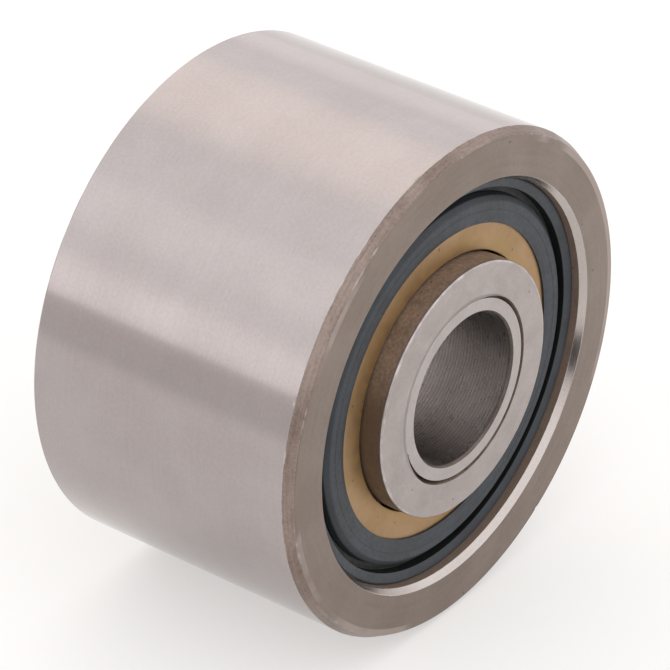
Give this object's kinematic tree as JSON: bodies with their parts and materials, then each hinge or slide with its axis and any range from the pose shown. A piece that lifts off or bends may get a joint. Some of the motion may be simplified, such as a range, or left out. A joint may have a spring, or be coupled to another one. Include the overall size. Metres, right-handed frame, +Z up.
{
  "type": "cam follower",
  "caption": "Yoke-type cam follower: a hardened tread ring running on two rows of tapered rollers round a bored hub, with a rubber seal and a brass washer at each end.",
  "frame": {"origin": "middle of the part, on the spin axis", "axes": "Y along the spin axis, with the front face towards -Y; +Z up; X across"},
  "size_m": [0.0636, 0.0396, 0.0636],
  "materials": {
    "ring_steel": "fine ground, satin",
    "cone_steel": "ground hub face, turned hub side",
    "cup_steel": "ground",
    "sleeve_steel": "ground, with fine turning lines in the bore",
    "spacer_steel": "turned",
    "washer_brass": "matt, lightly tarnished",
    "seal_rubber": "moulded, soft sheen",
    "plate_steel": "pressed sheet",
    "cage_steel": "pressed sheet",
    "roller_steel": "polished"
  },
  "bodies": {
    "hub": {"bore_sleeve": "sleeve_steel", "cone_spacer": "spacer_steel", "cone_front": "cone_steel", "brass_washer_front": "washer_brass", "cone_rear": "cone_steel", "brass_washer_rear": "washer_brass"},
    "tread": {"outer_ring": "ring_steel", "cup_front": "cup_steel", "seal_plate_front": "plate_steel", "rubber_seal_front": "seal_rubber", "cup_rear": "cup_steel", "seal_plate_rear": "plate_steel", "rubber_seal_rear": "seal_rubber"},
    "cage_front": {"roller_cage_front": "cage_steel"},
    "cage_rear": {"roller_cage_rear": "cage_steel"},
    "roller_front_01": {"roller_front_01": "roller_steel"},
    "roller_front_02": {"roller_front_02": "roller_steel"},
    "roller_front_03": {"roller_front_03": "roller_steel"},
    "roller_front_04": {"roller_front_04": "roller_steel"},
    "roller_front_05": {"roller_front_05": "roller_steel"},
    "roller_front_06": {"roller_front_06": "roller_steel"},
    "roller_front_07": {"roller_front_07": "roller_steel"},
    "roller_front_08": {"roller_front_08": "roller_steel"},
    "roller_front_09": {"roller_front_09": "roller_steel"},
    "roller_front_10": {"roller_front_10": "roller_steel"},
    "roller_front_11": {"roller_front_11": "roller_steel"},
    "roller_front_12": {"roller_front_12": "roller_steel"},
    "roller_front_13": {"roller_front_13": "roller_steel"},
    "roller_front_14": {"roller_front_14": "roller_steel"},
    "roller_front_15": {"roller_front_15": "roller_steel"},
    "roller_rear_01": {"roller_rear_01": "roller_steel"},
    "roller_rear_02": {"roller_rear_02": "roller_steel"},
    "roller_rear_03": {"roller_rear_03": "roller_steel"},
    "roller_rear_04": {"roller_rear_04": "roller_steel"},
    "roller_rear_05": {"roller_rear_05": "roller_steel"},
    "roller_rear_06": {"roller_rear_06": "roller_steel"},
    "roller_rear_07": {"roller_rear_07": "roller_steel"},
    "roller_rear_08": {"roller_rear_08": "roller_steel"},
    "roller_rear_09": {"roller_rear_09": "roller_steel"},
    "roller_rear_10": {"roller_rear_10": "roller_steel"},
    "roller_rear_11": {"roller_rear_11": "roller_steel"},
    "roller_rear_12": {"roller_rear_12": "roller_steel"},
    "roller_rear_13": {"roller_rear_13": "roller_steel"},
    "roller_rear_14": {"roller_rear_14": "roller_steel"},
    "roller_rear_15": {"roller_rear_15": "roller_steel"}
  },
  "joints": [
    {"name": "outer_ring_spin", "type": "hinge", "parent": "hub", "child": "tread", "pos_m": [0, 0, 0], "axis": [0, 1, 0], "continuous": true},
    {"name": "cage_front_orbit", "type": "hinge", "parent": "hub", "child": "cage_front", "pos_m": [0, 0, 0], "axis": [0, 1, 0], "continuous": true},
    {"name": "roller_front_01_spin", "type": "hinge", "parent": "cage_front", "child": "roller_front_01", "pos_m": [0.01739, -0.00906, 0], "axis": [-0.1675, 0.9859, 0], "continuous": true},
    {"name": "roller_front_02_spin", "type": "hinge", "parent": "cage_front", "child": "roller_front_02", "pos_m": [0.01589, -0.00906, 0.00707], "axis": [-0.153, 0.9859, -0.0681], "continuous": true},
    {"name": "roller_front_03_spin", "type": "hinge", "parent": "cage_front", "child": "roller_front_03", "pos_m": [0.01164, -0.00906, 0.01292], "axis": [-0.1121, 0.9859, -0.1244], "continuous": true},
    {"name": "roller_front_04_spin", "type": "hinge", "parent": "cage_front", "child": "roller_front_04", "pos_m": [0.00537, -0.00906, 0.01654], "axis": [-0.0517, 0.9859, -0.1593], "continuous": true},
    {"name": "roller_front_05_spin", "type": "hinge", "parent": "cage_front", "child": "roller_front_05", "pos_m": [-0.00182, -0.00906, 0.01729], "axis": [0.0175, 0.9859, -0.1665], "continuous": true},
    {"name": "roller_front_06_spin", "type": "hinge", "parent": "cage_front", "child": "roller_front_06", "pos_m": [-0.00869, -0.00906, 0.01506], "axis": [0.0837, 0.9859, -0.145], "continuous": true},
    {"name": "roller_front_07_spin", "type": "hinge", "parent": "cage_front", "child": "roller_front_07", "pos_m": [-0.01407, -0.00906, 0.01022], "axis": [0.1355, 0.9859, -0.0984], "continuous": true},
    {"name": "roller_front_08_spin", "type": "hinge", "parent": "cage_front", "child": "roller_front_08", "pos_m": [-0.01701, -0.00906, 0.00362], "axis": [0.1638, 0.9859, -0.0348], "continuous": true},
    {"name": "roller_front_09_spin", "type": "hinge", "parent": "cage_front", "child": "roller_front_09", "pos_m": [-0.01701, -0.00906, -0.00362], "axis": [0.1638, 0.9859, 0.0348], "continuous": true},
    {"name": "roller_front_10_spin", "type": "hinge", "parent": "cage_front", "child": "roller_front_10", "pos_m": [-0.01407, -0.00906, -0.01022], "axis": [0.1355, 0.9859, 0.0984], "continuous": true},
    {"name": "roller_front_11_spin", "type": "hinge", "parent": "cage_front", "child": "roller_front_11", "pos_m": [-0.00869, -0.00906, -0.01506], "axis": [0.0837, 0.9859, 0.145], "continuous": true},
    {"name": "roller_front_12_spin", "type": "hinge", "parent": "cage_front", "child": "roller_front_12", "pos_m": [-0.00182, -0.00906, -0.01729], "axis": [0.0175, 0.9859, 0.1665], "continuous": true},
    {"name": "roller_front_13_spin", "type": "hinge", "parent": "cage_front", "child": "roller_front_13", "pos_m": [0.00537, -0.00906, -0.01654], "axis": [-0.0517, 0.9859, 0.1593], "continuous": true},
    {"name": "roller_front_14_spin", "type": "hinge", "parent": "cage_front", "child": "roller_front_14", "pos_m": [0.01164, -0.00906, -0.01292], "axis": [-0.1121, 0.9859, 0.1244], "continuous": true},
    {"name": "roller_front_15_spin", "type": "hinge", "parent": "cage_front", "child": "roller_front_15", "pos_m": [0.01589, -0.00906, -0.00707], "axis": [-0.153, 0.9859, 0.0681], "continuous": true},
    {"name": "cage_rear_orbit", "type": "hinge", "parent": "hub", "child": "cage_rear", "pos_m": [0, 0, 0], "axis": [0, 1, 0], "continuous": true},
    {"name": "roller_rear_01_spin", "type": "hinge", "parent": "cage_rear", "child": "roller_rear_01", "pos_m": [0.01739, 0.00906, 0], "axis": [0.1675, 0.9859, 0], "continuous": true},
    {"name": "roller_rear_02_spin", "type": "hinge", "parent": "cage_rear", "child": "roller_rear_02", "pos_m": [0.01589, 0.00906, -0.00707], "axis": [0.153, 0.9859, -0.0681], "continuous": true},
    {"name": "roller_rear_03_spin", "type": "hinge", "parent": "cage_rear", "child": "roller_rear_03", "pos_m": [0.01164, 0.00906, -0.01292], "axis": [0.1121, 0.9859, -0.1244], "continuous": true},
    {"name": "roller_rear_04_spin", "type": "hinge", "parent": "cage_rear", "child": "roller_rear_04", "pos_m": [0.00537, 0.00906, -0.01654], "axis": [0.0517, 0.9859, -0.1593], "continuous": true},
    {"name": "roller_rear_05_spin", "type": "hinge", "parent": "cage_rear", "child": "roller_rear_05", "pos_m": [-0.00182, 0.00906, -0.01729], "axis": [-0.0175, 0.9859, -0.1665], "continuous": true},
    {"name": "roller_rear_06_spin", "type": "hinge", "parent": "cage_rear", "child": "roller_rear_06", "pos_m": [-0.00869, 0.00906, -0.01506], "axis": [-0.0837, 0.9859, -0.145], "continuous": true},
    {"name": "roller_rear_07_spin", "type": "hinge", "parent": "cage_rear", "child": "roller_rear_07", "pos_m": [-0.01407, 0.00906, -0.01022], "axis": [-0.1355, 0.9859, -0.0984], "continuous": true},
    {"name": "roller_rear_08_spin", "type": "hinge", "parent": "cage_rear", "child": "roller_rear_08", "pos_m": [-0.01701, 0.00906, -0.00362], "axis": [-0.1638, 0.9859, -0.0348], "continuous": true},
    {"name": "roller_rear_09_spin", "type": "hinge", "parent": "cage_rear", "child": "roller_rear_09", "pos_m": [-0.01701, 0.00906, 0.00362], "axis": [-0.1638, 0.9859, 0.0348], "continuous": true},
    {"name": "roller_rear_10_spin", "type": "hinge", "parent": "cage_rear", "child": "roller_rear_10", "pos_m": [-0.01407, 0.00906, 0.01022], "axis": [-0.1355, 0.9859, 0.0984], "continuous": true},
    {"name": "roller_rear_11_spin", "type": "hinge", "parent": "cage_rear", "child": "roller_rear_11", "pos_m": [-0.00869, 0.00906, 0.01506], "axis": [-0.0837, 0.9859, 0.145], "continuous": true},
    {"name": "roller_rear_12_spin", "type": "hinge", "parent": "cage_rear", "child": "roller_rear_12", "pos_m": [-0.00182, 0.00906, 0.01729], "axis": [-0.0175, 0.9859, 0.1665], "continuous": true},
    {"name": "roller_rear_13_spin", "type": "hinge", "parent": "cage_rear", "child": "roller_rear_13", "pos_m": [0.00537, 0.00906, 0.01654], "axis": [0.0517, 0.9859, 0.1593], "continuous": true},
    {"name": "roller_rear_14_spin", "type": "hinge", "parent": "cage_rear", "child": "roller_rear_14", "pos_m": [0.01164, 0.00906, 0.01292], "axis": [0.1121, 0.9859, 0.1244], "continuous": true},
    {"name": "roller_rear_15_spin", "type": "hinge", "parent": "cage_rear", "child": "roller_rear_15", "pos_m": [0.01589, 0.00906, 0.00707], "axis": [0.153, 0.9859, 0.0681], "continuous": true}
  ],
  "couplings": [
    {"joint": "cage_front_orbit", "follows": "outer_ring_spin", "ratio": 0.58753},
    {"joint": "roller_front_01_spin", "follows": "outer_ring_spin", "ratio": 2.7296},
    {"joint": "roller_front_02_spin", "follows": "outer_ring_spin", "ratio": 2.7296},
    {"joint": "roller_front_03_spin", "follows": "outer_ring_spin", "ratio": 2.7296},
    {"joint": "roller_front_04_spin", "follows": "outer_ring_spin", "ratio": 2.7296},
    {"joint": "roller_front_05_spin", "follows": "outer_ring_spin", "ratio": 2.7296},
    {"joint": "roller_front_06_spin", "follows": "outer_ring_spin", "ratio": 2.7296},
    {"joint": "roller_front_07_spin", "follows": "outer_ring_spin", "ratio": 2.7296},
    {"joint": "roller_front_08_spin", "follows": "outer_ring_spin", "ratio": 2.7296},
    {"joint": "roller_front_09_spin", "follows": "outer_ring_spin", "ratio": 2.7296},
    {"joint": "roller_front_10_spin", "follows": "outer_ring_spin", "ratio": 2.7296},
    {"joint": "roller_front_11_spin", "follows": "outer_ring_spin", "ratio": 2.7296},
    {"joint": "roller_front_12_spin", "follows": "outer_ring_spin", "ratio": 2.7296},
    {"joint": "roller_front_13_spin", "follows": "outer_ring_spin", "ratio": 2.7296},
    {"joint": "roller_front_14_spin", "follows": "outer_ring_spin", "ratio": 2.7296},
    {"joint": "roller_front_15_spin", "follows": "outer_ring_spin", "ratio": 2.7296},
    {"joint": "cage_rear_orbit", "follows": "outer_ring_spin", "ratio": 0.58753},
    {"joint": "roller_rear_01_spin", "follows": "outer_ring_spin", "ratio": 2.7296},
    {"joint": "roller_rear_02_spin", "follows": "outer_ring_spin", "ratio": 2.7296},
    {"joint": "roller_rear_03_spin", "follows": "outer_ring_spin", "ratio": 2.7296},
    {"joint": "roller_rear_04_spin", "follows": "outer_ring_spin", "ratio": 2.7296},
    {"joint": "roller_rear_05_spin", "follows": "outer_ring_spin", "ratio": 2.7296},
    {"joint": "roller_rear_06_spin", "follows": "outer_ring_spin", "ratio": 2.7296},
    {"joint": "roller_rear_07_spin", "follows": "outer_ring_spin", "ratio": 2.7296},
    {"joint": "roller_rear_08_spin", "follows": "outer_ring_spin", "ratio": 2.7296},
    {"joint": "roller_rear_09_spin", "follows": "outer_ring_spin", "ratio": 2.7296},
    {"joint": "roller_rear_10_spin", "follows": "outer_ring_spin", "ratio": 2.7296},
    {"joint": "roller_rear_11_spin", "follows": "outer_ring_spin", "ratio": 2.7296},
    {"joint": "roller_rear_12_spin", "follows": "outer_ring_spin", "ratio": 2.7296},
    {"joint": "roller_rear_13_spin", "follows": "outer_ring_spin", "ratio": 2.7296},
    {"joint": "roller_rear_14_spin", "follows": "outer_ring_spin", "ratio": 2.7296},
    {"joint": "roller_rear_15_spin", "follows": "outer_ring_spin", "ratio": 2.7296}
  ]
}
